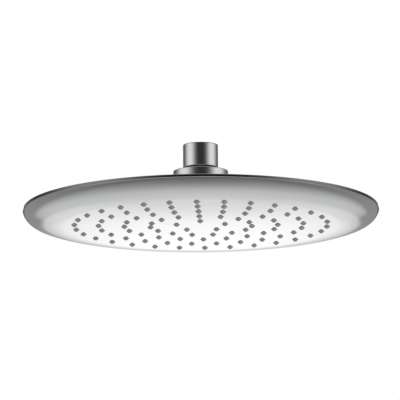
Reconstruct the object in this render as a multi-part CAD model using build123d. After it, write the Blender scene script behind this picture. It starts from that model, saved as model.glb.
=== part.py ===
from build123d import *
import math
import os

# A round rain shower head hung from a female G1/2 collar by a ball joint.
# Millimetres. The origin is the middle of the collar's mouth and +Z points up out of it, so the
# spray face looks down.

# Collar and stem
INLET_RADIUS = 10.4775  # major radius of a G1/2 thread
COLLAR_WALL = 1.8225
COLLAR_HEIGHT = 16.5
COLLAR_ROUNDING = 0.4
THREAD_DEPTH = 9.0
UNDERCUT = 0.5  # past the thread, where the washer snaps in
NECK_RADIUS = 6.5
STEM_THREAD_RADIUS = 5.6
GROOVE_WALL = 0.7  # between the sealing groove and the water way

# Inlet fittings
WASHER_THICKNESS = 2.0
WASHER_HOLE_RADIUS = 6.0
FITTING_RADIUS = 7.2  # screen and regulator
SCREEN_THICKNESS = 0.8
SCREEN_HOLE_RADIUS = 0.55
SCREEN_HOLE_PITCH = 1.6
SCREEN_RINGS = 3
SCREEN_RING_HOLES = 6  # in the first ring round the middle hole, and as many more in each further one
REGULATOR_HEIGHT = 2.8
REGULATOR_FLOOR = 1.2
REGULATOR_PORTS = 8
REGULATOR_PORT_RADIUS = 0.7
REGULATOR_CORE_RADIUS = 2.4
REGULATOR_CORD_RADIUS = 0.8
STEM_CORD_RADIUS = 0.65

# Ball joint
SWIVEL_GAP = 2.4
BALL_RADIUS = 10.5
BALL_RISE = 2.3  # the whole ball's crown, above the top of the nut
NECK_LEDGE = 0.5  # the ball's flat, past the neck
NUT_WALL = 3.7
NUT_HEIGHT = 13.1
NUT_ROUNDING = 0.4
NUT_CAP = 2.5
MOUTH_CLEARANCE = 0.4  # between the ball and the edge of the nut's mouth
SOCKET_WALL = 3.0
SEAT_WALL = 1.9  # of the seats at the middle of the ball
SOCKET_TOP_DROP = 1.0  # under the cap of the nut
SOCKET_LEDGE = 3.5  # the shoulder under the cover, past the thread
SOCKET_SHOULDER = 2.6
SOCKET_FLOOR = 2.0
SOCKET_WATERWAY_RADIUS = 6.0
SPIGOT_WALL = 3.0
WELL_LEDGE = 1.0  # the well under the ball, past the water way
WELL_CLEARANCE = 0.5
UPPER_SEAT_FOOT = 1.0  # above the middle of the ball
LOWER_SEAT_RAISE = 1.9  # above the bottom of the ball
LOWER_SEAT_HEIGHT = 4.0
SOCKET_CORD_RADIUS = 1.1

# Head
HEAD_RADIUS = 125.0
BOWL_DEPTH = 10.15  # spray face to the seam under the cover
BOWL_WALL = 2.5
EDGE_RADIUS = 32.0  # first, gentle bend out of the spray face
EDGE_TURN = 20.0
RIM_TURN = 78.0  # slope of the wall at the seam
RIM_ROUNDING = 0.6
COVER_INSET = 0.5
COVER_EDGE = 1.7
COVER_DRAFT = 6.0  # lean of the edge, inwards
COVER_ROUNDING = 0.3
COVER_WALL = 2.0
COVER_RISE = 13.25
COVER_LEDGE = 1.5  # the flat on top, past the nut
COVER_SKIRT = 1.5
COVER_SKIRT_WALL = 1.6
COVER_WASHER_THICKNESS = 0.6

# Spray
RING_MARGIN = 36.2  # from the outer ring of nozzles to the rim
RING_STEPS = (0, 17.0, 18.0, 18.0, 18.0)  # from ring to ring, inwards
RING_COUNTS = (30, 25, 20, 15, 5)
RING_TURN = -1.74  # of the first nozzle of each ring from the -Y direction
NOZZLE_RADIUS = 2.3
NOZZLE_TIP_RADIUS = 1.2
NOZZLE_DROP = 1.35
NOZZLE_BORE_RADIUS = 0.55
NOZZLE_MOUTH_RADIUS = 1.1
MAT_THICKNESS = 1.5
MAT_MARGIN = 5.2
CHAMBER_HEIGHT = 4.0
CHAMBER_WALL = 3.5
PLATE_THICKNESS = 3.0
PLATE_MARGIN = 1.2
PLATE_BOSS_WALL = 5.5
PILLAR_RADIUS = 2.0
PILLAR_COUNTS = (15, 10, 5)  # between the outer rings, inwards
SEAL_CORD_RADIUS = 0.85
SCREW_COUNT = 10
SCREW_RADIUS = 1.5
SCREW_HEAD_RADIUS = 2.7
SCREW_HEAD_HEIGHT = 1.8
SCREW_LENGTH = 7.0
SCREW_SLOT_WIDTH = 0.7
SCREW_SLOT_DEPTH = 0.9
POST_WALL = 1.5

# Clearances
RUNNING = 0.05  # between turned faces that slide on one another
BALL_RUNNING = 0.15
FIT = 0.1  # between pieces that stay put

# Heights, from the collar down
COLLAR_FOOT = -COLLAR_HEIGHT
THREAD_FOOT = -THREAD_DEPTH
INLET_FLOOR = THREAD_FOOT - WASHER_THICKNESS
NUT_TOP = COLLAR_FOOT - SWIVEL_GAP
NUT_FOOT = NUT_TOP - NUT_HEIGHT
CAP_FOOT = NUT_TOP - NUT_CAP
BALL_MIDDLE = NUT_TOP + BALL_RISE - BALL_RADIUS
COVER_TOP = NUT_FOOT - COVER_WASHER_THICKNESS
SEAM = COVER_TOP - COVER_RISE - COVER_EDGE
FACE = SEAM - BOWL_DEPTH
FACE_INSIDE = FACE + BOWL_WALL
MAT_TOP = FACE_INSIDE + MAT_THICKNESS
PLATE_FOOT = MAT_TOP + CHAMBER_HEIGHT
PLATE_TOP = PLATE_FOOT + PLATE_THICKNESS

# Radii that follow
COLLAR_RADIUS = INLET_RADIUS + COLLAR_WALL
BALL_FLAT_RADIUS = NECK_RADIUS + NECK_LEDGE
SOCKET_BORE_RADIUS = BALL_RADIUS + SEAT_WALL + FIT
SOCKET_THREAD_RADIUS = SOCKET_BORE_RADIUS + SOCKET_WALL
SOCKET_SHOULDER_RADIUS = SOCKET_THREAD_RADIUS + SOCKET_LEDGE
SPIGOT_RADIUS = SOCKET_WATERWAY_RADIUS + SPIGOT_WALL
NUT_RADIUS = SOCKET_THREAD_RADIUS + FIT + NUT_WALL
NUT_MOUTH_RADIUS = math.sqrt(BALL_RADIUS**2 - (CAP_FOOT - BALL_MIDDLE) ** 2) + MOUTH_CLEARANCE
COVER_FLAT_RADIUS = NUT_RADIUS + COVER_LEDGE
RING_RADII = [HEAD_RADIUS - RING_MARGIN - sum(RING_STEPS[: ring + 1]) for ring in range(len(RING_STEPS))]
MAT_RADIUS = RING_RADII[0] + MAT_MARGIN
CHAMBER_RADIUS = MAT_RADIUS + FIT
SEAL_RADIUS = CHAMBER_RADIUS + CHAMBER_WALL / 2
POST_RADIUS = SCREW_RADIUS + POST_WALL
SCREW_CIRCLE = CHAMBER_RADIUS + CHAMBER_WALL + SCREW_RADIUS + FIT
PLATE_RADIUS = SCREW_CIRCLE + POST_RADIUS + PLATE_MARGIN


def turned(*outline, corners=()):
    """A solid turned about Z from a closed outline of (radius, height) edges.

    Each corner is a radius, a height and the rounding that it gets.
    """
    profile = make_face(Curve() + list(outline))
    for radius, height, rounding in corners:
        corner = profile.vertices().sort_by_distance((radius, height, 0))[0]
        profile = fillet(corner, rounding)
    return revolve(Plane.XZ * profile, Axis.Z)


def tube(outer, inner, foot, top):
    """A plain ring between two heights."""
    return turned(Polyline((inner, foot), (outer, foot), (outer, top), (inner, top), close=True))


def disc(radius, foot, top):
    """A plain cylinder between two heights."""
    return Pos(0, 0, foot) * Cylinder(radius, top - foot, align=(Align.CENTER, Align.CENTER, Align.MIN))


def cord_ring(radius, cord_radius, height):
    """A rubber cord ring."""
    return Pos(0, 0, height) * Torus(radius, cord_radius)


def around(radius, count, turn=0.0):
    """Places spread evenly on a circle, the first one towards -Y."""
    spread = [math.radians(turn + 360.0 * step / count) for step in range(count)]
    return [Pos(radius * math.sin(angle), -radius * math.cos(angle), 0) for angle in spread]


def nozzle_places():
    """The places of all the nozzles, ring by ring."""
    rings = [around(radius, count, RING_TURN) for radius, count in zip(RING_RADII, RING_COUNTS)]
    return [place for ring in rings for place in ring]


def make_inlet_stem():
    """The collar with the inlet bore, the fittings' pocket and the neck for the ball."""
    pocket_foot = INLET_FLOOR - SCREEN_THICKNESS - REGULATOR_HEIGHT
    shoulder = BALL_MIDDLE + math.sqrt(BALL_RADIUS**2 - BALL_FLAT_RADIUS**2)
    end = BALL_MIDDLE - math.sqrt(BALL_RADIUS**2 - STEM_THREAD_RADIUS**2)
    groove = stem_groove_middle()
    groove_floor = STEM_THREAD_RADIUS - 2 * STEM_CORD_RADIUS
    waterway = groove_floor - GROOVE_WALL
    outline = Polyline(
        (INLET_RADIUS, 0),
        (COLLAR_RADIUS, 0),
        (COLLAR_RADIUS, COLLAR_FOOT),
        (NECK_RADIUS, COLLAR_FOOT),
        (NECK_RADIUS, shoulder),
        (STEM_THREAD_RADIUS, shoulder),
        (STEM_THREAD_RADIUS, groove + STEM_CORD_RADIUS + FIT),
        (groove_floor, groove + STEM_CORD_RADIUS + FIT),
        (groove_floor, groove - STEM_CORD_RADIUS - FIT),
        (STEM_THREAD_RADIUS, groove - STEM_CORD_RADIUS - FIT),
        (STEM_THREAD_RADIUS, end),
        (waterway, end),
        (waterway, pocket_foot),
        (FITTING_RADIUS + FIT, pocket_foot),
        (FITTING_RADIUS + FIT, INLET_FLOOR),
        (INLET_RADIUS + UNDERCUT, INLET_FLOOR),
        (INLET_RADIUS + UNDERCUT, THREAD_FOOT),
        (INLET_RADIUS, THREAD_FOOT),
        close=True,
    )
    corners = (
        (COLLAR_RADIUS, 0, COLLAR_ROUNDING),
        (COLLAR_RADIUS, COLLAR_FOOT, COLLAR_ROUNDING),
    )
    return turned(outline, corners=corners)


def stem_groove_middle():
    """The height of the sealing groove near the end of the stem."""
    return BALL_MIDDLE - BALL_RADIUS / 2


def make_inlet_washer():
    return tube(INLET_RADIUS + UNDERCUT - FIT, WASHER_HOLE_RADIUS, INLET_FLOOR, THREAD_FOOT)


def make_strainer_screen():
    screen = disc(FITTING_RADIUS, INLET_FLOOR - SCREEN_THICKNESS, INLET_FLOOR)
    hole = disc(SCREEN_HOLE_RADIUS, INLET_FLOOR - SCREEN_THICKNESS, INLET_FLOOR)
    holes = [hole]
    for ring in range(1, SCREEN_RINGS + 1):
        holes += [place * hole for place in around(ring * SCREEN_HOLE_PITCH, ring * SCREEN_RING_HOLES)]
    return screen - holes


def make_flow_regulator():
    """A cup with a core, with ports through its floor and room for the ring round the core."""
    top = INLET_FLOOR - SCREEN_THICKNESS
    foot = top - REGULATOR_HEIGHT
    channel_radius = REGULATOR_CORE_RADIUS + 2 * REGULATOR_CORD_RADIUS + FIT
    channel = tube(channel_radius, REGULATOR_CORE_RADIUS, foot + REGULATOR_FLOOR, top)
    port = disc(REGULATOR_PORT_RADIUS, foot, foot + REGULATOR_FLOOR)
    circle = REGULATOR_CORE_RADIUS + REGULATOR_CORD_RADIUS
    ports = [place * port for place in around(circle, REGULATOR_PORTS)]
    return disc(FITTING_RADIUS, foot, top) - channel - ports


def make_regulator_ring():
    floor = INLET_FLOOR - SCREEN_THICKNESS - REGULATOR_HEIGHT + REGULATOR_FLOOR
    radius = REGULATOR_CORE_RADIUS + REGULATOR_CORD_RADIUS + FIT / 2
    return cord_ring(radius, REGULATOR_CORD_RADIUS, floor + REGULATOR_CORD_RADIUS)


def make_ball_o_ring():
    radius = STEM_THREAD_RADIUS - STEM_CORD_RADIUS
    return cord_ring(radius, STEM_CORD_RADIUS, stem_groove_middle())


def make_swivel_ball():
    """A ball with a flat for the stem's shoulder and a threaded hole through it."""
    flat = BALL_MIDDLE + math.sqrt(BALL_RADIUS**2 - BALL_FLAT_RADIUS**2)
    foot = BALL_MIDDLE - BALL_RADIUS
    ball = Pos(0, 0, BALL_MIDDLE) * Sphere(BALL_RADIUS)
    ball -= disc(BALL_RADIUS, flat, flat + BALL_RADIUS)
    return ball - disc(STEM_THREAD_RADIUS + RUNNING, foot, flat)


def seat_ring(foot, top):
    """A ring that fills the socket's bore and is hollowed to the ball."""
    ring = disc(SOCKET_BORE_RADIUS - FIT, foot, top)
    return ring - Pos(0, 0, BALL_MIDDLE) * Sphere(BALL_RADIUS + BALL_RUNNING)


def make_upper_seat():
    return seat_ring(BALL_MIDDLE + UPPER_SEAT_FOOT, CAP_FOOT)


def make_lower_seat():
    foot = BALL_MIDDLE - BALL_RADIUS + LOWER_SEAT_RAISE
    return seat_ring(foot, foot + LOWER_SEAT_HEIGHT)


def make_joint_nut():
    """The nut, with a cap over the upper seat and a mouth that lets the neck tilt."""
    thread_radius = SOCKET_THREAD_RADIUS + FIT
    outline = Polyline(
        (NUT_MOUTH_RADIUS, NUT_TOP),
        (NUT_RADIUS, NUT_TOP),
        (NUT_RADIUS, NUT_FOOT),
        (thread_radius, NUT_FOOT),
        (thread_radius, CAP_FOOT),
        (NUT_MOUTH_RADIUS, CAP_FOOT),
        close=True,
    )
    corners = (
        (NUT_RADIUS, NUT_TOP, NUT_ROUNDING),
        (NUT_MOUTH_RADIUS, NUT_TOP, NUT_ROUNDING / 2),
    )
    return turned(outline, corners=corners)


def make_cover_washer():
    return tube(NUT_RADIUS - NUT_ROUNDING / 2, SOCKET_THREAD_RADIUS + FIT, COVER_TOP, NUT_FOOT)


def socket_heights():
    """The socket's shoulder, the floor under the ball and the underside on the plate's boss."""
    shoulder = COVER_TOP - COVER_WALL
    well_floor = BALL_MIDDLE - BALL_RADIUS - WELL_CLEARANCE
    underside = min(well_floor - SOCKET_FLOOR, shoulder - SOCKET_SHOULDER)
    return shoulder, well_floor, underside


def make_joint_socket():
    """The cup for the ball, with a shoulder under the cover and a spigot into the plate."""
    shoulder, well_floor, underside = socket_heights()
    seat_floor = BALL_MIDDLE - BALL_RADIUS + LOWER_SEAT_RAISE
    well_radius = SOCKET_WATERWAY_RADIUS + WELL_LEDGE
    outline = Polyline(
        (SOCKET_BORE_RADIUS, CAP_FOOT - SOCKET_TOP_DROP),
        (SOCKET_THREAD_RADIUS, CAP_FOOT - SOCKET_TOP_DROP),
        (SOCKET_THREAD_RADIUS, shoulder),
        (SOCKET_SHOULDER_RADIUS, shoulder),
        (SOCKET_SHOULDER_RADIUS, shoulder - SOCKET_SHOULDER),
        (SOCKET_THREAD_RADIUS, shoulder - SOCKET_SHOULDER),
        (SOCKET_THREAD_RADIUS, underside),
        (SPIGOT_RADIUS, underside),
        (SPIGOT_RADIUS, PLATE_FOOT),
        (SOCKET_WATERWAY_RADIUS, PLATE_FOOT),
        (SOCKET_WATERWAY_RADIUS, well_floor),
        (well_radius, well_floor),
        (well_radius, seat_floor),
        (SOCKET_BORE_RADIUS, seat_floor),
        close=True,
    )
    return turned(outline)


def make_socket_o_ring():
    underside = socket_heights()[2]
    radius = SPIGOT_RADIUS + SOCKET_CORD_RADIUS
    return cord_ring(radius, SOCKET_CORD_RADIUS, underside - SOCKET_CORD_RADIUS)


def bowl_bend():
    """The radius of the flat spray face, and the middle and radius of the tight bend up to the rim."""
    first = math.radians(EDGE_TURN)
    last = math.radians(RIM_TURN)
    bend = (BOWL_DEPTH - EDGE_RADIUS * (1 - math.cos(first))) / (math.cos(first) - math.cos(last))
    run = EDGE_RADIUS * math.sin(first) + bend * (math.sin(last) - math.sin(first))
    flat = HEAD_RADIUS - run
    step = EDGE_RADIUS - bend
    middle = (flat + step * math.sin(first), FACE + EDGE_RADIUS - step * math.cos(first))
    return flat, middle, bend


def bowl_arcs(inset):
    """The two arcs from the flat of the spray face up to the rim, moved in by the inset."""
    flat, middle, bend = bowl_bend()
    gentle = CenterArc((flat, FACE + EDGE_RADIUS), EDGE_RADIUS - inset, -90, EDGE_TURN)
    tight = CenterArc(middle, bend - inset, EDGE_TURN - 90, RIM_TURN - EDGE_TURN)
    return gentle, tight


def dome_arc(outer, inner, drop):
    """The cover's dome from one radius in to another, lowered by the drop."""
    edge_radius = HEAD_RADIUS - COVER_INSET
    depth = (edge_radius**2 - COVER_FLAT_RADIUS**2 - COVER_RISE**2) / (2 * COVER_RISE)
    radius = math.hypot(edge_radius, depth)
    first = math.degrees(math.acos(outer / radius))
    last = math.degrees(math.acos(inner / radius))
    return CenterArc((0, SEAM + COVER_EDGE - depth - drop), radius, first, last - first)


def make_top_cover():
    """The domed shell, with a drafted edge on the bowl's rim and a skirt inside it."""
    edge_radius = HEAD_RADIUS - COVER_INSET
    edge_top_radius = edge_radius - COVER_EDGE * math.tan(math.radians(COVER_DRAFT))
    skirt_foot = SEAM - COVER_SKIRT
    middle, bend = bowl_bend()[1:]
    bowl_inside = middle[0] + math.sqrt((bend - BOWL_WALL) ** 2 - (middle[1] - skirt_foot) ** 2)
    skirt_radius = bowl_inside - FIT
    skirt_inside = skirt_radius - COVER_SKIRT_WALL
    outside = dome_arc(edge_top_radius, COVER_FLAT_RADIUS, 0)
    inside = dome_arc(skirt_inside, COVER_FLAT_RADIUS, COVER_WALL)
    hole_radius = SOCKET_THREAD_RADIUS + FIT
    top = Polyline(
        outside @ 1,
        (hole_radius, COVER_TOP),
        (hole_radius, COVER_TOP - COVER_WALL),
        inside @ 1,
    )
    edge = Polyline(
        inside @ 0,
        (skirt_inside, skirt_foot),
        (skirt_radius, skirt_foot),
        (skirt_radius, SEAM),
        (edge_radius, SEAM),
        outside @ 0,
    )
    corners = ((edge_top_radius, SEAM + COVER_EDGE, COVER_ROUNDING),)
    return turned(outside, top, inside, edge, corners=corners)


def make_spray_face():
    """The bowl, with a nozzle hole for each nozzle, the chamber's wall and the screw posts."""
    gentle, tight = bowl_arcs(0)
    gentle_inside, tight_inside = bowl_arcs(BOWL_WALL)
    floor = Polyline(gentle_inside @ 0, (0, FACE_INSIDE), (0, FACE), gentle @ 0)
    rim = Polyline(tight @ 1, tight_inside @ 1)
    profile = make_face(Curve() + [gentle, tight, rim, tight_inside, gentle_inside, floor])
    above = Pos(HEAD_RADIUS, SEAM) * Rectangle(4 * BOWL_WALL, BOWL_WALL, align=(Align.CENTER, Align.MIN))
    profile -= above
    corner = profile.vertices().sort_by_distance((HEAD_RADIUS, SEAM, 0))[0]
    profile = fillet(corner, RIM_ROUNDING)
    bowl = revolve(Plane.XZ * profile, Axis.Z)
    bowl += tube(CHAMBER_RADIUS + CHAMBER_WALL, CHAMBER_RADIUS, FACE_INSIDE, PLATE_FOOT)
    bowl += [place * disc(POST_RADIUS, FACE_INSIDE, PLATE_FOOT) for place in screw_places()]
    hole_foot = PLATE_TOP - SCREW_LENGTH
    bowl -= [place * disc(SCREW_RADIUS, hole_foot, PLATE_TOP) for place in screw_places()]
    hole = disc(NOZZLE_RADIUS + FIT, FACE, FACE_INSIDE)
    return bowl - [place * hole for place in nozzle_places()]


def screw_places():
    return around(SCREW_CIRCLE, SCREW_COUNT, 180.0 / SCREW_COUNT)


def make_nozzle_mat():
    """The mat on the inside of the spray face, with a hollow nozzle through each hole."""
    tip = FACE - NOZZLE_DROP
    nozzle = turned(
        Polyline((0, tip), (NOZZLE_TIP_RADIUS, tip), (NOZZLE_RADIUS, FACE), (NOZZLE_RADIUS, FACE_INSIDE),
                 (0, FACE_INSIDE), close=True)
    )
    bore = turned(
        Polyline((0, tip), (NOZZLE_BORE_RADIUS, tip), (NOZZLE_BORE_RADIUS, FACE),
                 (NOZZLE_MOUTH_RADIUS, FACE_INSIDE), (NOZZLE_MOUTH_RADIUS, MAT_TOP), (0, MAT_TOP), close=True)
    )
    mat = disc(MAT_RADIUS, FACE_INSIDE, MAT_TOP)
    mat += [place * nozzle for place in nozzle_places()]
    return mat - [place * bore for place in nozzle_places()]


def make_chamber_plate():
    """The plate over the water chamber, with a boss for the socket and pillars that hold the mat."""
    boss_top = socket_heights()[2]
    boss_radius = SPIGOT_RADIUS + PLATE_BOSS_WALL
    plate = disc(PLATE_RADIUS, PLATE_FOOT, PLATE_TOP)
    plate += disc(boss_radius, PLATE_TOP, boss_top)
    for outer, inner, count in zip(RING_RADII, RING_RADII[1:], PILLAR_COUNTS):
        pillar = disc(PILLAR_RADIUS, MAT_TOP, PLATE_FOOT)
        plate += [place * pillar for place in around((inner + outer) / 2, count, 180.0 / count)]
    plate -= disc(SPIGOT_RADIUS, PLATE_FOOT, boss_top)
    plate -= disc(SPIGOT_RADIUS + 2 * SOCKET_CORD_RADIUS, boss_top - 2 * SOCKET_CORD_RADIUS, boss_top)
    groove_top = PLATE_FOOT + 2 * SEAL_CORD_RADIUS
    groove_half = SEAL_CORD_RADIUS + FIT
    plate -= tube(SEAL_RADIUS + groove_half, SEAL_RADIUS - groove_half, PLATE_FOOT, groove_top)
    return plate - [place * disc(SCREW_RADIUS, PLATE_FOOT, PLATE_TOP) for place in screw_places()]


def make_chamber_seal():
    return cord_ring(SEAL_RADIUS, SEAL_CORD_RADIUS, PLATE_FOOT + SEAL_CORD_RADIUS)


def make_plate_screws():
    """The screws through the plate into the posts, each a solid of its own."""
    head_top = PLATE_TOP + SCREW_HEAD_HEIGHT
    head = disc(SCREW_HEAD_RADIUS, PLATE_TOP, head_top)
    head = fillet(head.edges().sort_by(Axis.Z)[-1], SCREW_HEAD_HEIGHT / 2)
    screw = head + disc(SCREW_RADIUS, PLATE_TOP - SCREW_LENGTH, PLATE_TOP)
    slot = Box(2 * SCREW_HEAD_RADIUS, SCREW_SLOT_WIDTH, SCREW_SLOT_DEPTH)
    screw -= Pos(0, 0, head_top - SCREW_SLOT_DEPTH / 2) * slot
    return Compound(children=[place * screw for place in screw_places()])


os.makedirs("parts", exist_ok=True)
PIECES = {
    "inlet_stem": make_inlet_stem,
    "inlet_washer": make_inlet_washer,
    "strainer_screen": make_strainer_screen,
    "flow_regulator": make_flow_regulator,
    "regulator_ring": make_regulator_ring,
    "ball_o_ring": make_ball_o_ring,
    "swivel_ball": make_swivel_ball,
    "upper_seat": make_upper_seat,
    "lower_seat": make_lower_seat,
    "joint_nut": make_joint_nut,
    "cover_washer": make_cover_washer,
    "joint_socket": make_joint_socket,
    "socket_o_ring": make_socket_o_ring,
    "top_cover": make_top_cover,
    "chamber_plate": make_chamber_plate,
    "chamber_seal": make_chamber_seal,
    "plate_screws": make_plate_screws,
    "nozzle_mat": make_nozzle_mat,
    "spray_face": make_spray_face,
}
for name, make in PIECES.items():
    export_step(make(), f"parts/{name}.step")
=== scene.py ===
import math

import bmesh
import bpy
from mathutils import Matrix, Vector


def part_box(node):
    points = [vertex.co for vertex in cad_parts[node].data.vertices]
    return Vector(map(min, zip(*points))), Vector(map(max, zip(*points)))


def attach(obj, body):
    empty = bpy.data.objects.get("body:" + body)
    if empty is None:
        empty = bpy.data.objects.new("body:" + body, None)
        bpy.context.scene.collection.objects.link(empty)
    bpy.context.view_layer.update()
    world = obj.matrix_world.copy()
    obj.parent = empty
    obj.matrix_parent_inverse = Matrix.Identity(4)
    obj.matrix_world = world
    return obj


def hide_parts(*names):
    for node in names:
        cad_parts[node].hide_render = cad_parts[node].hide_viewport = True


# A round chromed rain shower head on a ball joint, hung with its spray face down.
# Outlines are (radius, height) in millimetres. Everything else is in metres.

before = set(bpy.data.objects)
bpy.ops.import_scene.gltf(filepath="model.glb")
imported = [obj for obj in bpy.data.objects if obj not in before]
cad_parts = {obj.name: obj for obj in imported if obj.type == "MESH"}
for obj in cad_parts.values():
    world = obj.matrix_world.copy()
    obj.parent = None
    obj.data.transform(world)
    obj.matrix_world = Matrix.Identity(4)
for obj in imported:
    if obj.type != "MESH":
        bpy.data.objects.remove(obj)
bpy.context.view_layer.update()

MM = 0.001
FLAT_MARGIN = 0.6  # a narrow ring that keeps the shading beside a rounded edge true
SHARP_ANGLE = math.radians(32)
MERGE = 0.002  # points nearer than this are one


def span(node):
    """A node's lowest and highest corners in millimetres."""
    low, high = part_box(node)
    return low / MM, high / MM


# Sizes read from the frame
stem_low, stem_high = span("inlet_stem")
COLLAR_RADIUS = stem_high.x
COLLAR_TOP = stem_high.z
STEM_END = stem_low.z
washer_low, washer_high = span("inlet_washer")
THREAD_FOOT = washer_high.z
INLET_FLOOR = washer_low.z
POCKET_FOOT = span("flow_regulator")[0].z
ball_high = span("swivel_ball")[1]
BALL_RADIUS = ball_high.x
BALL_FLAT = ball_high.z
nut_low, nut_high = span("joint_nut")
NUT_RADIUS = nut_high.x
NUT_TOP = nut_high.z
NUT_FOOT = nut_low.z
cover_low, cover_high = span("top_cover")
COVER_RADIUS = cover_high.x
COVER_TOP = cover_high.z
SKIRT_FOOT = cover_low.z
face_low, face_high = span("spray_face")
FACE = face_low.z
SEAM = face_high.z
mat_low, mat_high = span("nozzle_mat")
MAT_RADIUS = mat_high.x
MAT_TOP = mat_high.z
NOZZLE_TIP = mat_low.z

# Collar and stem
COLLAR_FOOT = -16.5
COLLAR_ROUNDING = 0.4
INLET_RADIUS = 10.4775
UNDERCUT = 0.5
POCKET_RADIUS = 7.3
NECK_RADIUS = 6.5
STEM_THREAD_RADIUS = 5.6
STEM_BORE_RADIUS = 3.6
GROOVE_RADIUS = 4.3
GROOVE_HALF = 0.75
THREAD_PITCH = 1.814
THREAD_CREST = 9.32
THREAD_CREST_HALF = 0.22
THREAD_ROOT_HALF = 0.8
THREAD_BURY = 0.1  # how far the ridge reaches into the wall behind it
THREAD_STEPS = 64  # points in one turn of the ridge

# Ball joint
BALL_FLAT_RADIUS = 7.0
BALL_MIDDLE = BALL_FLAT - math.sqrt(BALL_RADIUS**2 - BALL_FLAT_RADIUS**2)
BALL_HOLE_RADIUS = 5.65
NUT_MOUTH_RADIUS = 9.22
NUT_ROUNDING = 0.4
NUT_THREAD_RADIUS = 15.6
NUT_CAP = 2.5

# Head: the bowl bends up in three stretches, to these slopes in degrees
HEAD_RADIUS = 125.0
BOWL_WALL = 2.5
DISH_RADIUS = 200.0
DISH_TURN = 4.0
EDGE_RADIUS = 32.0
EDGE_TURN = 20.0
RIM_TURN = 78.0
RIM_ROUNDING = 0.6
CHAMBER_RADIUS = 94.1
CHAMBER_WALL = 3.5
CHAMBER_HEIGHT = 4.0
COVER_EDGE = 1.7
COVER_DRAFT = math.radians(6.0)  # lean of the edge, inwards
COVER_ROUNDING = 0.3
COVER_WALL = 2.0
COVER_HOLE_RADIUS = 15.6
COVER_FLAT_RADIUS = 20.8
SKIRT_WALL = 1.6
SKIRT_GAP = 0.1

# Spray
RINGS = ((88.8, 30), (71.8, 25), (53.8, 20), (35.8, 15), (17.8, 5))  # radius and number of nozzles
RING_TURN = -1.74  # degrees from -Y to the first nozzle of each ring
HOLE_RADIUS = 2.4
NOZZLE_RADIUS = 2.3
NOZZLE_TIP_RADIUS = 1.2
NOZZLE_ROUNDING = 0.3
NOZZLE_BORE_RADIUS = 0.55
NOZZLE_MOUTH_RADIUS = 1.1
POST_RADIUS = 3.0
POST_BURY = 0.5  # how far the screw posts reach into the floor under them
POST_STEP = 0.02  # how far they end under the top of the chamber's wall
SCREW_RADIUS = 1.5
SCREW_CIRCLE = 99.2
SCREW_COUNT = 10
SCREW_TURN = 18.0

# How finely round forms are divided: round the axis, then along an arc of an outline
FINE_SEGMENTS = 256
SMALL_SEGMENTS = 128
NOZZLE_SEGMENTS = 20
HOLE_SEGMENTS = 32
ROUNDING_STEPS = 8
LIP_STEPS = 6
NUT_STEPS = 10
TIP_STEPS = 3
BALL_STEPS = 40
BEND_STEPS = 24
RIM_STEPS = 40
INSIDE_STEPS = 16
DOME_STEPS = 48


class Value:
    """A node's output that takes part in sums, each of which adds a Math node."""

    def __init__(self, nodes, socket):
        self.nodes = nodes
        self.socket = socket

    def math(self, operation, *values):
        settings = {"operation": operation}
        return self.nodes.add("ShaderNodeMath", settings, dict(enumerate(values)))

    def __add__(self, other):
        return self.math("ADD", self, other)

    def __radd__(self, other):
        return self.math("ADD", other, self)

    def __sub__(self, other):
        return self.math("SUBTRACT", self, other)

    def __rsub__(self, other):
        return self.math("SUBTRACT", other, self)

    def __mul__(self, other):
        return self.math("MULTIPLY", self, other)

    def __rmul__(self, other):
        return self.math("MULTIPLY", other, self)

    def __truediv__(self, other):
        return self.math("DIVIDE", self, other)

    def __rtruediv__(self, other):
        return self.math("DIVIDE", other, self)

    def __neg__(self):
        return self.math("MULTIPLY", self, -1.0)

    def __abs__(self):
        return self.math("ABSOLUTE", self)

    def exponent(self):
        return self.math("EXPONENT", self)

    def root(self):
        return self.math("SQRT", self)

    def at_least(self, other):
        return self.math("MAXIMUM", self, other)

    def step(self, start, end):
        """A soft rise from 0 at the start to 1 at the end, which may lie either way."""
        low, high = min(start, end), max(start, end)
        inputs = {"Value": self, "From Min": low, "From Max": high}
        if start > end:
            inputs.update({"To Min": 1.0, "To Max": 0.0})
        return self.nodes.add("ShaderNodeMapRange", {"interpolation_type": "SMOOTHSTEP"}, inputs)

    def hill(self, width):
        """1 about zero, with a soft fall to 0 at either side of this width."""
        share = (self / width) * (self / width)
        return (-(share * share)).exponent()

    def towards(self, other, share):
        """This value, moved towards another by a share from 0 to 1."""
        return self + (other - self) * share

    def between(self, low, high):
        """The number from low to high that this value, from 0 to 1, stands for."""
        return self * (high - low) + low


class Nodes:
    """A node tree that is being built."""

    def __init__(self, tree):
        self.tree = tree

    def node(self, kind, settings=None, inputs=None):
        """Adds any node: its type, its settings, and the values or links of its sockets."""
        node = self.tree.nodes.new(kind)
        for name, value in (settings or {}).items():
            setattr(node, name, value)
        for name, value in (inputs or {}).items():
            for item in value if isinstance(value, list) else [value]:
                self.feed(node.inputs[name], item)
        return node

    def feed(self, socket, value):
        if isinstance(value, Value):
            self.tree.links.new(value.socket, socket)
        else:
            socket.default_value = value

    def add(self, kind, settings=None, inputs=None, output=0):
        """Adds any node and gives one of its outputs."""
        return Value(self, self.node(kind, settings, inputs).outputs[output])

    def blend(self, factor, first, second):
        """A colour between two colours."""
        settings = {"data_type": "RGBA"}
        inputs = {"Factor": factor}
        node = self.node("ShaderNodeMix", settings, inputs)
        colours = [s for s in node.inputs if s.type == "RGBA"]
        self.feed(colours[0], first)
        self.feed(colours[1], second)
        return Value(self, next(s for s in node.outputs if s.type == "RGBA"))


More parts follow.
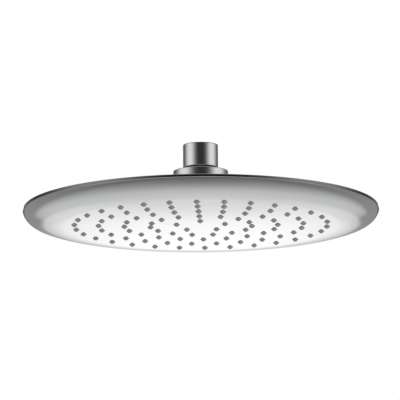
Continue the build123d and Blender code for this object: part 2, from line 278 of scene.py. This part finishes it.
class Finish(Nodes):
    """A material on Object coordinates."""

    GRAIN_EDGES = (0.3, 0.7)  # the part of the noise that is drawn out to 0 and 1

    def __init__(self, name):
        self.material = bpy.data.materials.new(name)
        self.material.use_nodes = True
        super().__init__(self.material.node_tree)
        self.tree.nodes.clear()
        self.place = self.add("ShaderNodeTexCoord", output="Object")

    def grain(self, size_mm, detail=2.0, stretch=(1.0, 1.0, 1.0)):
        """Soft noise from 0 to 1 with grains of about this size."""
        place = self.add("ShaderNodeMapping", None, {"Vector": self.place, "Scale": stretch})
        inputs = {"Vector": place, "Scale": 1 / (size_mm * MM), "Detail": detail}
        return self.add("ShaderNodeTexNoise", None, inputs).step(*self.GRAIN_EDGES)

    def height(self):
        """Millimetres above the origin."""
        split = self.node("ShaderNodeSeparateXYZ", None, {"Vector": self.place})
        return Value(self, split.outputs["Z"]) / MM

    def bump(self, height, depth_mm):
        """A normal from a height of 0 to 1 that stands for this depth."""
        inputs = {"Height": height, "Strength": 1.0, "Distance": depth_mm * MM}
        return self.add("ShaderNodeBump", None, inputs)

    def coat(self, **inputs):
        """Ends the material with one principled surface."""
        named = {name.replace("_", " "): value for name, value in inputs.items()}
        surface = self.add("ShaderNodeBsdfPrincipled", None, named)
        self.node("ShaderNodeOutputMaterial", None, {"Surface": surface})
        return self.material


def tone(red, green=None, blue=None):
    """A colour, grey if only one number is given."""
    return (red, red if green is None else green, red if blue is None else blue, 1.0)


# Finishes

# soft edge, in millimetres, of the painted shade and dull plating under the collar
SHADE_AND_DULL_EDGE = 0.1
DULL_ROUGHNESS = 0.5


def polished_chrome(name, painted_shade_below=None):
    """Bright plating: close to a mirror, with a faint haze that comes and goes.

    Up to the height that is given, in the gap under the collar, the colour is painted dark as shade there,
    and the plating is dull.
    """
    chrome = Finish(name)
    cloud = chrome.grain(size_mm=60)
    haze = chrome.grain(size_mm=14, detail=3.0)
    colour = chrome.blend(cloud, tone(0.852, 0.860, 0.868), tone(0.876, 0.882, 0.886))
    roughness = cloud.towards(haze, 0.4).between(0.022, 0.048)
    if painted_shade_below is not None:
        painted_shade_and_dull = chrome.height().step(painted_shade_below + SHADE_AND_DULL_EDGE, painted_shade_below)
        # painted shade: the colour turns near black in the gap under the collar, where shade falls
        colour = chrome.blend(painted_shade_and_dull, colour, chrome.blend(haze, tone(0.020), tone(0.040)))
        roughness = roughness.towards(DULL_ROUGHNESS, painted_shade_and_dull)
    return chrome.coat(Base_Color=colour, Metallic=1.0, Roughness=roughness)


def grey_silicone():
    """Soft moulded silicone, a little dusty."""
    silicone = Finish("grey_silicone")
    mottle = silicone.grain(size_mm=1.2, detail=3.0)
    skin = silicone.grain(size_mm=0.25)
    return silicone.coat(
        Base_Color=silicone.blend(mottle, tone(0.250, 0.252, 0.256), tone(0.306, 0.308, 0.311)),
        Roughness=mottle.between(0.48, 0.62),
        Normal=silicone.bump(skin, depth_mm=0.02),
    )


def black_rubber():
    """Moulded seal rubber with a pale bloom."""
    rubber = Finish("black_rubber")
    bloom = rubber.grain(size_mm=3.0, detail=4.0)
    skin = rubber.grain(size_mm=0.3)
    return rubber.coat(
        Base_Color=rubber.blend(bloom, tone(0.014), tone(0.030)),
        Roughness=bloom.between(0.55, 0.75),
        Normal=rubber.bump(skin, depth_mm=0.03),
    )


def turned_brass():
    """Bare brass with the fine rings that a lathe leaves."""
    brass = Finish("turned_brass")
    rings = brass.grain(size_mm=0.35, detail=1.0, stretch=(0.02, 0.02, 1.0))
    tarnish = brass.grain(size_mm=6.0, detail=4.0)
    return brass.coat(
        Base_Color=brass.blend(tarnish, tone(0.71, 0.53, 0.24), tone(0.80, 0.63, 0.33)),
        Metallic=1.0,
        Roughness=rings.towards(tarnish, 0.5).between(0.20, 0.38),
        Normal=brass.bump(rings, depth_mm=0.01),
    )


def moulded_plastic(name, dark, light):
    """Moulded plastic with a fine grain and slight flow marks."""
    plastic = Finish(name)
    flow = plastic.grain(size_mm=9.0)
    skin = plastic.grain(size_mm=0.4)
    return plastic.coat(
        Base_Color=plastic.blend(flow, dark, light),
        Roughness=flow.between(0.36, 0.50),
        Normal=plastic.bump(skin, depth_mm=0.015),
    )


def drawn_steel():
    """Stainless steel with fine drawing marks."""
    steel = Finish("drawn_steel")
    marks = steel.grain(size_mm=0.5, stretch=(1.0, 0.1, 1.0))
    cloud = steel.grain(size_mm=4.0)
    return steel.coat(
        Base_Color=steel.blend(cloud, tone(0.54, 0.55, 0.56), tone(0.63, 0.64, 0.645)),
        Metallic=1.0,
        Roughness=marks.between(0.22, 0.36),
        Normal=steel.bump(marks, depth_mm=0.008),
    )


FINISHES = {
    "chrome": polished_chrome("polished_chrome"),
    # the stem's chrome, with painted shade in the gap under the collar
    "stem_chrome": polished_chrome("stem_chrome", COLLAR_FOOT + SHADE_AND_DULL_EDGE / 2),
    "silicone": grey_silicone(),
    "seal_rubber": black_rubber(),
    "brass": turned_brass(),
    "white_plastic": moulded_plastic("white_plastic", tone(0.70, 0.70, 0.68), tone(0.77, 0.77, 0.75)),
    "grey_plastic": moulded_plastic("grey_plastic", tone(0.20, 0.205, 0.21), tone(0.25, 0.255, 0.26)),
    "steel": drawn_steel(),
}


# Turned meshes


def arc(middle, radius, first, last, steps):
    """Points along an arc between two angles in degrees."""
    turn = (last - first) / steps
    angles = [math.radians(first + turn * step) for step in range(steps + 1)]
    return [(middle[0] + radius * math.cos(a), middle[1] + radius * math.sin(a)) for a in angles]


def turned_mesh(name, outline, segments, capped=False):
    """A mesh turned about Z. A capped outline is open, with a flat over its first and last rings."""
    mesh = bmesh.new()
    rings = []
    for radius, height in outline:
        turns = [2 * math.pi * step / segments for step in range(segments)]
        places = [(radius * math.cos(a) * MM, radius * math.sin(a) * MM, height * MM) for a in turns]
        rings.append([mesh.verts.new(place) for place in places])
    pairs = list(zip(rings, rings[1:]))
    if capped:
        mesh.faces.new(rings[0])
        mesh.faces.new(rings[-1])
    else:
        pairs.append((rings[-1], rings[0]))
    for lower, upper in pairs:
        for step in range(segments):
            following = (step + 1) % segments
            mesh.faces.new((lower[step], lower[following], upper[following], upper[step]))
    bmesh.ops.remove_doubles(mesh, verts=mesh.verts, dist=MERGE * MM)
    bmesh.ops.recalc_face_normals(mesh, faces=mesh.faces)
    data = bpy.data.meshes.new(name)
    mesh.to_mesh(data)
    mesh.free()
    return data


def smooth(data):
    """Smooth shading up to the sharp corners."""
    data.shade_smooth()
    data.set_sharp_from_angle(angle=SHARP_ANGLE)
    return data


def new_piece(name, data):
    piece = bpy.data.objects.new(name, data)
    bpy.context.scene.collection.objects.link(piece)
    return piece


def place_piece(piece, body, node, slot, finish=None):
    """Smooths a finished piece, gives it its finish and its body, and hides the node that it stands for.
    """
    smooth(piece.data)
    piece.data.materials.clear()
    piece.data.materials.append(FINISHES[finish or slot])
    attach(piece, body)
    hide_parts(node)


# Trees for what repeats or follows a path


class Tree(Nodes):
    """A Geometry Nodes tree with named inputs for its sizes."""

    KINDS = {float: "NodeSocketFloat", int: "NodeSocketInt"}

    def __init__(self, name, sizes):
        super().__init__(bpy.data.node_groups.new(name, "GeometryNodeTree"))
        self.sizes = sizes
        interface = self.tree.interface
        interface.new_socket("Geometry", in_out="INPUT", socket_type="NodeSocketGeometry")
        interface.new_socket("Geometry", in_out="OUTPUT", socket_type="NodeSocketGeometry")
        self.keys = {}
        for size, value in sizes.items():
            kind = self.KINDS[type(value)]
            self.keys[size] = interface.new_socket(size, in_out="INPUT", socket_type=kind).identifier
        self.given = self.node("NodeGroupInput")

    def take(self, name):
        """One of the tree's inputs."""
        return Value(self, self.given.outputs[name])

    def rings(self, rings, turn, height):
        """Points spread evenly on circles, the first of each turned by some degrees from -Y."""
        circles = []
        for radius, count in rings:
            inputs = {"Vertices": count, "Radius": radius * MM}
            circles.append(self.add("GeometryNodeMeshCircle", {"fill_type": "NONE"}, inputs))
        joined = self.add("GeometryNodeJoinGeometry", None, {"Geometry": circles})
        inputs = {
            "Geometry": joined,
            "Translation": self.add("ShaderNodeCombineXYZ", None, {"Z": height}),
            "Rotation": self.add("ShaderNodeCombineXYZ", None, {"Z": (turn - 90) * math.radians(1)}),
        }
        return self.add("GeometryNodeTransform", None, inputs)

    def copies(self, points, shape):
        """The shape set on each point, as plain mesh."""
        inputs = {"Points": points, "Instance": shape}
        placed = self.add("GeometryNodeInstanceOnPoints", None, inputs)
        return self.add("GeometryNodeRealizeInstances", None, {"Geometry": placed})

    def rod(self, radius, length, segments):
        """A plain cylinder about its own middle."""
        inputs = {"Vertices": segments, "Radius": radius, "Depth": length}
        return self.add("GeometryNodeMeshCylinder", None, inputs, "Mesh")

    def joined(self, *meshes):
        """Closed meshes made one."""
        settings = {"operation": "UNION", "solver": "MANIFOLD"}
        return self.add("GeometryNodeMeshBoolean", settings, {"Mesh 2": list(meshes)})

    def cut(self, mesh, *tools):
        """A closed mesh with others taken out of it."""
        settings = {"operation": "DIFFERENCE", "solver": "MANIFOLD"}
        return self.add("GeometryNodeMeshBoolean", settings, {"Mesh 1": mesh, "Mesh 2": list(tools)})

    def bake(self, piece, result, material):
        """Ends the tree, runs it on a piece and leaves its result there as plain mesh."""
        whole = self.add("GeometryNodeRealizeInstances", None, {"Geometry": result})
        merged = self.add("GeometryNodeMergeByDistance", None, {"Geometry": whole, "Distance": MERGE * MM})
        dressed = self.add("GeometryNodeSetMaterial", None, {"Geometry": merged, "Material": material})
        self.node("NodeGroupOutput", None, {"Geometry": dressed})
        modifier = piece.modifiers.new(self.tree.name, "NODES")
        modifier.node_group = self.tree
        for size, value in self.sizes.items():
            modifier[self.keys[size]] = value
        bpy.context.view_layer.update()
        graph = bpy.context.evaluated_depsgraph_get()
        data = bpy.data.meshes.new_from_object(piece.evaluated_get(graph))
        piece.modifiers.remove(modifier)
        piece.data = data
        return piece


# Inlet


def inlet_outline():
    """The collar, its rounded edges, the bore, the fittings' pocket and the neck."""
    rounded = COLLAR_RADIUS - COLLAR_ROUNDING
    groove = BALL_MIDDLE - BALL_RADIUS / 2
    return [
        *arc((rounded, COLLAR_TOP - COLLAR_ROUNDING), COLLAR_ROUNDING, 90, 0, ROUNDING_STEPS),
        (COLLAR_RADIUS, COLLAR_TOP - COLLAR_ROUNDING - FLAT_MARGIN),
        (COLLAR_RADIUS, COLLAR_FOOT + COLLAR_ROUNDING + FLAT_MARGIN),
        *arc((rounded, COLLAR_FOOT + COLLAR_ROUNDING), COLLAR_ROUNDING, 0, -90, ROUNDING_STEPS),
        (NECK_RADIUS, COLLAR_FOOT),
        (NECK_RADIUS, BALL_FLAT),
        (STEM_THREAD_RADIUS, BALL_FLAT),
        (STEM_THREAD_RADIUS, groove + GROOVE_HALF),
        (GROOVE_RADIUS, groove + GROOVE_HALF),
        (GROOVE_RADIUS, groove - GROOVE_HALF),
        (STEM_THREAD_RADIUS, groove - GROOVE_HALF),
        (STEM_THREAD_RADIUS, STEM_END),
        (STEM_BORE_RADIUS, STEM_END),
        (STEM_BORE_RADIUS, POCKET_FOOT),
        (POCKET_RADIUS, POCKET_FOOT),
        (POCKET_RADIUS, INLET_FLOOR),
        (INLET_RADIUS + UNDERCUT, INLET_FLOOR),
        (INLET_RADIUS + UNDERCUT, THREAD_FOOT),
        (INLET_RADIUS, THREAD_FOOT),
        (INLET_RADIUS, COLLAR_TOP),
    ]


def thread_ridge(tree):
    """One ridge wound up the bore, with a flat crest towards the axis."""
    turns = (COLLAR_TOP - THREAD_FOOT - 2 * THREAD_ROOT_HALF) / THREAD_PITCH
    inputs = {
        "Resolution": tree.take("Steps"),
        "Rotations": turns,
        "Start Radius": INLET_RADIUS * MM,
        "End Radius": INLET_RADIUS * MM,
        "Height": tree.take("Pitch") * turns,
    }
    wound = tree.add("GeometryNodeCurveSpiral", None, inputs)
    upright = tree.add("GeometryNodeSetCurveNormal", {"mode": "Z_UP"}, {"Curve": wound})
    inner = (INLET_RADIUS - THREAD_CREST) * MM
    outer = -THREAD_BURY * MM
    corners = {
        "Point 1": (inner, -THREAD_CREST_HALF * MM, 0),
        "Point 2": (inner, THREAD_CREST_HALF * MM, 0),
        "Point 3": (outer, THREAD_ROOT_HALF * MM, 0),
        "Point 4": (outer, -THREAD_ROOT_HALF * MM, 0),
    }
    section = tree.add("GeometryNodeCurvePrimitiveQuadrilateral", {"mode": "POINTS"}, corners)
    inputs = {"Curve": upright, "Profile Curve": section, "Fill Caps": True}
    ridge = tree.add("GeometryNodeCurveToMesh", None, inputs)
    foot = (0, 0, (THREAD_FOOT + THREAD_ROOT_HALF) * MM)
    return tree.add("GeometryNodeTransform", None, {"Geometry": ridge, "Translation": foot})


def make_inlet_collar():
    piece = new_piece("inlet_collar", turned_mesh("inlet_collar", inlet_outline(), SMALL_SEGMENTS))
    tree = Tree("inlet_thread", {"Pitch": THREAD_PITCH * MM, "Steps": THREAD_STEPS})
    parts = {"Geometry": [tree.take("Geometry"), thread_ridge(tree)]}
    whole = tree.add("GeometryNodeJoinGeometry", None, parts)
    # the stem's chrome finish paints shade into the gap under the collar
    tree.bake(piece, whole, FINISHES["stem_chrome"])
    place_piece(piece, "inlet", "inlet_stem", "chrome", "stem_chrome")


# Ball joint


def make_ball():
    top = math.degrees(math.acos(BALL_FLAT_RADIUS / BALL_RADIUS))
    foot = math.degrees(math.acos(BALL_HOLE_RADIUS / BALL_RADIUS))
    outline = [*arc((0, BALL_MIDDLE), BALL_RADIUS, -foot, top, BALL_STEPS), (BALL_HOLE_RADIUS, BALL_FLAT)]
    piece = new_piece("ball", turned_mesh("ball", outline, SMALL_SEGMENTS))
    place_piece(piece, "ball", "swivel_ball", "chrome")


def make_nut():
    rounded = NUT_RADIUS - NUT_ROUNDING
    lip = NUT_ROUNDING / 2
    outline = [
        *arc((NUT_MOUTH_RADIUS + lip, NUT_TOP - lip), lip, 180, 90, LIP_STEPS),
        *arc((rounded, NUT_TOP - NUT_ROUNDING), NUT_ROUNDING, 90, 0, NUT_STEPS),
        (NUT_RADIUS, NUT_TOP - NUT_ROUNDING - FLAT_MARGIN),
        (NUT_RADIUS, NUT_FOOT),
        (NUT_THREAD_RADIUS, NUT_FOOT),
        (NUT_THREAD_RADIUS, NUT_TOP - NUT_CAP),
        (NUT_MOUTH_RADIUS, NUT_TOP - NUT_CAP),
    ]
    piece = new_piece("nut", turned_mesh("nut", outline, SMALL_SEGMENTS))
    place_piece(piece, "head", "joint_nut", "chrome")


# Head


def bowl_bends():
    """The three bends from the flat of the spray face up to the rim, each tighter than the one before.

    Each is a middle, a radius, and the angles where it starts and ends.
    """
    turns = (0.0, DISH_TURN, EDGE_TURN, RIM_TURN)
    sines = [math.sin(math.radians(turn)) for turn in turns]
    cosines = [math.cos(math.radians(turn)) for turn in turns]
    rise = DISH_RADIUS * (cosines[0] - cosines[1]) + EDGE_RADIUS * (cosines[1] - cosines[2])
    radii = (DISH_RADIUS, EDGE_RADIUS, (SEAM - FACE - rise) / (cosines[2] - cosines[3]))
    reach = sum(radius * (sines[i + 1] - sines[i]) for i, radius in enumerate(radii))
    place = (HEAD_RADIUS - reach, FACE)
    bends = []
    for i, radius in enumerate(radii):
        middle = (place[0] - radius * sines[i], place[1] + radius * cosines[i])
        bends.append((middle, radius, turns[i] - 90, turns[i + 1] - 90))
        place = (middle[0] + radius * sines[i + 1], middle[1] - radius * cosines[i + 1])
    return bends


def bowl_outline():
    """Round the bowl from the middle of the spray face over the rim to the floor of the chamber."""
    dish, gentle, tight = bowl_bends()
    middle, bend, start = tight[:3]
    rim_height = SEAM - RIM_ROUNDING
    rim_angle = math.degrees(math.asin((rim_height - middle[1]) / (bend - RIM_ROUNDING)))
    rim = (middle[0] + (bend - RIM_ROUNDING) * math.cos(math.radians(rim_angle)), rim_height)
    inside = bend - BOWL_WALL
    inside_angle = math.degrees(math.asin((SEAM - middle[1]) / inside))
    floor = FACE + BOWL_WALL
    wall_top = MAT_TOP + CHAMBER_HEIGHT
    return [
        (dish[0][0] - FLAT_MARGIN, FACE),
        *arc(*dish, BEND_STEPS),
        *arc(*gentle, BEND_STEPS)[1:],
        *arc(middle, bend, start, rim_angle, RIM_STEPS)[1:],
        *arc(rim, RIM_ROUNDING, rim_angle, 90, ROUNDING_STEPS)[1:],
        *arc(middle, inside, inside_angle, start, INSIDE_STEPS),
        *arc(gentle[0], EDGE_RADIUS - BOWL_WALL, start, gentle[2], INSIDE_STEPS // 2)[1:],
        (CHAMBER_RADIUS + CHAMBER_WALL, floor),
        (CHAMBER_RADIUS + CHAMBER_WALL, wall_top),
        (CHAMBER_RADIUS, wall_top),
        (CHAMBER_RADIUS, floor),
        (CHAMBER_RADIUS - FLAT_MARGIN, floor),
    ]


def make_spray_bowl():
    piece = new_piece("spray_bowl", turned_mesh("spray_bowl", bowl_outline(), FINE_SEGMENTS, capped=True))
    sizes = {
        "Hole Radius": HOLE_RADIUS * MM,
        "Post Radius": POST_RADIUS * MM,
        "Screw Radius": SCREW_RADIUS * MM,
    }
    tree = Tree("spray_drilling", sizes)
    wall_top = MAT_TOP + CHAMBER_HEIGHT
    hole = tree.rod(tree.take("Hole Radius"), 2 * BOWL_WALL * MM, HOLE_SEGMENTS)
    holes = tree.copies(tree.rings(RINGS, RING_TURN, (FACE + BOWL_WALL / 2) * MM), hole)
    post_top = wall_top - POST_STEP
    post_foot = FACE + BOWL_WALL - POST_BURY
    post = tree.rod(tree.take("Post Radius"), (post_top - post_foot) * MM, HOLE_SEGMENTS)
    circle = ((SCREW_CIRCLE, SCREW_COUNT),)
    posts = tree.copies(tree.rings(circle, SCREW_TURN, (post_top + post_foot) / 2 * MM), post)
    drill = tree.rod(tree.take("Screw Radius"), 2 * CHAMBER_HEIGHT * MM, HOLE_SEGMENTS)
    drills = tree.copies(tree.rings(circle, SCREW_TURN, wall_top * MM), drill)
    whole = tree.cut(tree.joined(tree.take("Geometry"), posts), holes, drills)
    tree.bake(piece, whole, FINISHES["chrome"])
    place_piece(piece, "head", "spray_face", "chrome")


def cover_outline():
    """The dome, its drafted edge and the skirt inside the bowl."""
    edge_top = SEAM + COVER_EDGE
    rise = COVER_TOP - edge_top
    depth = (COVER_RADIUS**2 - COVER_FLAT_RADIUS**2 - rise**2) / (2 * rise)
    radius = math.hypot(COVER_RADIUS, depth)
    middle = (0, edge_top - depth)
    below = (0, middle[1] - COVER_WALL)
    bowl_middle, bend = bowl_bends()[2][:2]
    bowl_inside = math.sqrt((bend - BOWL_WALL) ** 2 - (bowl_middle[1] - SKIRT_FOOT) ** 2)
    skirt = bowl_middle[0] + bowl_inside - SKIRT_GAP
    lean = COVER_EDGE * math.tan(COVER_DRAFT)
    rounding_radius = COVER_RADIUS - lean - COVER_ROUNDING / math.cos(COVER_DRAFT)
    rounding_height = middle[1] + math.sqrt((radius - COVER_ROUNDING) ** 2 - rounding_radius**2)
    rounding = (rounding_radius, rounding_height)
    corner = math.degrees(math.atan2(rounding_height - middle[1], rounding_radius))
    flat = math.degrees(math.acos(COVER_FLAT_RADIUS / radius))
    inner = math.degrees(math.acos((skirt - SKIRT_WALL) / radius))
    return [
        (COVER_RADIUS, SEAM),
        *arc(rounding, COVER_ROUNDING, math.degrees(COVER_DRAFT), corner, ROUNDING_STEPS),
        *arc(middle, radius, corner, flat, DOME_STEPS)[1:],
        (COVER_FLAT_RADIUS - FLAT_MARGIN, COVER_TOP),
        (COVER_HOLE_RADIUS, COVER_TOP),
        (COVER_HOLE_RADIUS, COVER_TOP - COVER_WALL),
        *arc(below, radius, flat, inner, DOME_STEPS // 2),
        (skirt - SKIRT_WALL, SKIRT_FOOT),
        (skirt, SKIRT_FOOT),
        (skirt, SEAM),
    ]


def make_cover():
    piece = new_piece("dome_cover", turned_mesh("dome_cover", cover_outline(), FINE_SEGMENTS))
    place_piece(piece, "head", "top_cover", "chrome")


def nozzle_outline():
    """A nozzle without its bore: the sleeve through the hole, the taper and the rounded tip."""
    tip = NOZZLE_TIP_RADIUS - NOZZLE_ROUNDING
    return [
        (NOZZLE_RADIUS, FACE + BOWL_WALL + (MAT_TOP - FACE - BOWL_WALL) / 2),
        (NOZZLE_RADIUS, FACE),
        *arc((tip, NOZZLE_TIP + NOZZLE_ROUNDING), NOZZLE_ROUNDING, 0, -90, TIP_STEPS),
    ]


def bore_outline():
    """What is taken out of a nozzle: the narrow jet and the wide mouth behind it."""
    past = 1.0
    return [
        (NOZZLE_BORE_RADIUS, NOZZLE_TIP - past),
        (NOZZLE_BORE_RADIUS, FACE),
        (NOZZLE_MOUTH_RADIUS, FACE + BOWL_WALL),
        (NOZZLE_MOUTH_RADIUS, MAT_TOP + past),
    ]


def make_nozzles():
    mat = [(MAT_RADIUS, FACE + BOWL_WALL), (MAT_RADIUS, MAT_TOP)]
    piece = new_piece("spray_nozzles", turned_mesh("spray_nozzles", mat, FINE_SEGMENTS, capped=True))
    tree = Tree("nozzle_rings", {"Turn": RING_TURN})
    points = tree.rings(RINGS, tree.take("Turn"), 0.0)
    patterns = []
    shapes = {}
    for name, outline in (("nozzle", nozzle_outline()), ("bore", bore_outline())):
        pattern = new_piece(name, turned_mesh(name, outline, NOZZLE_SEGMENTS, capped=True))
        shape = tree.add("GeometryNodeObjectInfo", None, {"Object": pattern}, "Geometry")
        shapes[name] = tree.copies(points, shape)
        patterns.append(pattern)
    whole = tree.cut(tree.joined(tree.take("Geometry"), shapes["nozzle"]), shapes["bore"])
    tree.bake(piece, whole, FINISHES["silicone"])
    for pattern in patterns:
        bpy.data.objects.remove(pattern)
    place_piece(piece, "head", "nozzle_mat", "silicone")


make_inlet_collar()
make_ball()
make_nut()
make_spray_bowl()
make_cover()
make_nozzles()

# Finishes of the pieces that keep their own shape
CARRIED = {
    "inlet_washer": "seal_rubber",
    "strainer_screen": "steel",
    "flow_regulator": "white_plastic",
    "regulator_ring": "seal_rubber",
    "ball_o_ring": "seal_rubber",
    "upper_seat": "white_plastic",
    "lower_seat": "seal_rubber",
    "cover_washer": "seal_rubber",
    "joint_socket": "brass",
    "socket_o_ring": "seal_rubber",
    "chamber_plate": "grey_plastic",
    "chamber_seal": "seal_rubber",
    "plate_screws": "steel",
}
for node, finish in CARRIED.items():
    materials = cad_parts[node].data.materials
    materials.clear()
    materials.append(FINISHES[finish])


# Camera, from below and in front

CAMERA_BELOW = math.radians(10.5)
CAMERA_DISTANCE = 2.056
CAMERA_LENS = 263.9
CAMERA_SENSOR = 36.0
CAMERA_ROLL = math.radians(-0.42)
FACE_POINT = Vector((0.0, 0.0, FACE * MM))
CAMERA_AIM = FACE_POINT + Vector((-0.0006, 0.0, 0.0184))  # the middle of the picture


def set_camera():
    data = bpy.data.cameras.new("camera")
    data.lens = CAMERA_LENS
    data.sensor_fit = "HORIZONTAL"
    data.sensor_width = CAMERA_SENSOR
    camera = new_piece("camera", data)
    away = Vector((0.0, -math.cos(CAMERA_BELOW), -math.sin(CAMERA_BELOW)))
    place = FACE_POINT + away * CAMERA_DISTANCE
    turn = (CAMERA_AIM - place).to_track_quat("-Z", "Y").to_matrix()
    turn = turn @ Matrix.Rotation(CAMERA_ROLL, 3, "Z")
    camera.matrix_world = Matrix.Translation(place) @ turn.to_4x4()
    bpy.context.scene.camera = camera


set_camera()


# Studio: a white backdrop and a pale floor of paper in a dim room, with a tall soft box at each side
# and one on the ceiling

SOFT_LIGHT = 0.80
MIRROR_GAIN = 1.15  # makes up for the share of the light that the plating swallows

# Light levels that the plating mirrors
ROOM_SIDE, ROOM_BACK = 0.176, 0.066  # at the sides, and what is added towards the back
PAPER_DOWN, PAPER_BACK = 0.321, 0.218  # straight below, and what is added towards the back
GLOW, GLOW_DIP = 0.70, 0.12  # round the backdrop, and less in its middle
BACKDROP = 0.95
BOX = 0.66
FRONT, BEHIND = 0.028, 0.10  # above the horizon, between the boxes
OVERHEAD = 0.24
PANEL = 0.55  # soft box on the ceiling
DIMMED = 0.30  # share of its light that the room keeps above the boxes
FADED = 0.62  # share that the backdrop keeps towards its top

# Where they are: sines of the angle above the horizon, or widths as sines of the angle aside
PAPER_EDGE = (2.69, 0.37)  # width over depth, where the paper ends and where it is whole
PAPER_SINK = 0.154
PAPER_LEAST = 0.02  # least depth that the width is set against
GLOW_WIDTH = 0.092
DIP_WIDTH = 0.045
GLOW_FOOT = (-0.32, -0.195)
BACKDROP_WIDTH = 0.053
BACKDROP_FOOT = (-0.1914, -0.1808)
BACKDROP_TOP = (0.45, 0.25)
BACKDROP_FADE = (-0.172, -0.060)
BEHIND_EDGE = (0.0, 0.5)
HORIZON = (-0.02, 0.12)
BOX_FRONT = (-1.00, -0.33)
BOX_BACK = (0.78, -0.12)
BOX_LEAN = -0.04  # sets the right box a little further back than the left one
BOX_TOP = (0.235, 0.29)
CEILING = (0.50, 0.80)
PANEL_EDGE = (0.46, 0.30)
TINY = 1e-4


def mirrored_studio(world):
    """The studio as polished metal shows it, by direction: x to the right, y to the back, z up."""
    direction = world.add("ShaderNodeTexCoord", output="Generated")
    split = world.node("ShaderNodeSeparateXYZ", None, {"Vector": direction})
    x, y, z = (Value(world, socket) for socket in split.outputs)
    back = y / (x * x + y * y).at_least(TINY).root()
    behind = back.step(*BEHIND_EDGE)
    room = back * ROOM_BACK + ROOM_SIDE
    spread = abs(x) / (-z - PAPER_SINK).at_least(PAPER_LEAST)
    low = room.towards(y * PAPER_BACK + PAPER_DOWN, spread.step(*PAPER_EDGE))
    around = back + x * BOX_LEAN
    boxes = around.step(*BOX_FRONT) * around.step(*BOX_BACK)
    high = around.step(*BOX_FRONT).between(FRONT, BEHIND).towards(BOX, boxes)
    high = high * z.step(*BOX_TOP).between(1.0, DIMMED)
    panel = abs(x).step(*PANEL_EDGE) * abs(y).step(*PANEL_EDGE)
    high = high.towards(panel.between(OVERHEAD, PANEL), z.step(*CEILING))
    light = low.towards(high, z.step(*HORIZON))
    ends = z.step(*BACKDROP_TOP) * behind
    glow = x.hill(GLOW_WIDTH) * ends * z.step(*GLOW_FOOT)
    fade = z.step(*BACKDROP_FADE).between(1.0, FADED)
    light = light.towards(x.hill(DIP_WIDTH).between(GLOW, GLOW - GLOW_DIP) * fade, glow)
    backdrop = x.hill(BACKDROP_WIDTH) * ends * z.step(*BACKDROP_FOOT)
    light = light.towards(fade * BACKDROP, backdrop)
    return light * MIRROR_GAIN


def set_world():
    world = bpy.data.worlds.new("studio")
    world.use_nodes = True
    bpy.context.scene.world = world
    nodes = Nodes(world.node_tree)
    nodes.tree.nodes.clear()
    path = nodes.node("ShaderNodeLightPath")
    seen = Value(nodes, path.outputs["Is Camera Ray"])
    through = Value(nodes, path.outputs["Is Transmission Ray"])
    mirrored = Value(nodes, path.outputs["Is Glossy Ray"])
    white = seen.at_least(through)
    strength = mirrored.between(SOFT_LIGHT, 0.0) + mirrored * mirrored_studio(nodes)
    strength = strength.towards(1.0, white)
    light = nodes.add("ShaderNodeBackground", None, {"Color": tone(1.0), "Strength": strength})
    nodes.node("ShaderNodeOutputWorld", None, {"Surface": light})


def add_lamp(name, place, size, power):
    """A soft square lamp that faces the shower head and isn't mirrored in it."""
    data = bpy.data.lights.new(name, "AREA")
    data.size = size
    data.energy = power
    lamp = new_piece(name, data)
    turn = (CAMERA_AIM - Vector(place)).to_track_quat("-Z", "Y").to_matrix()
    lamp.matrix_world = Matrix.Translation(place) @ turn.to_4x4()
    lamp.visible_glossy = False
    lamp.visible_camera = False


FLOOR_HEIGHT = -3.2
FLOOR_SIZE = 30.0


def add_floor():
    """A plain pale floor, far below."""
    mesh = bmesh.new()
    bmesh.ops.create_grid(mesh, x_segments=1, y_segments=1, size=FLOOR_SIZE / 2)
    data = bpy.data.meshes.new("floor")
    mesh.to_mesh(data)
    mesh.free()
    data.transform(Matrix.Translation((0, 0, FLOOR_HEIGHT)))
    paint = Finish("pale_floor")
    shade = paint.grain(size_mm=400)
    data.materials.append(paint.coat(
        Base_Color=paint.blend(shade, tone(0.86), tone(0.90)),
        Roughness=0.9,
    ))
    floor = new_piece("floor", data)
    floor.visible_glossy = False


set_world()
add_floor()
add_lamp("key_lamp", place=(-1.4, -1.6, 1.2), size=1.6, power=22.0)
add_lamp("fill_lamp", place=(1.6, -1.2, -0.6), size=1.6, power=12.0)
bpy.context.scene.view_settings.view_transform = "Standard"
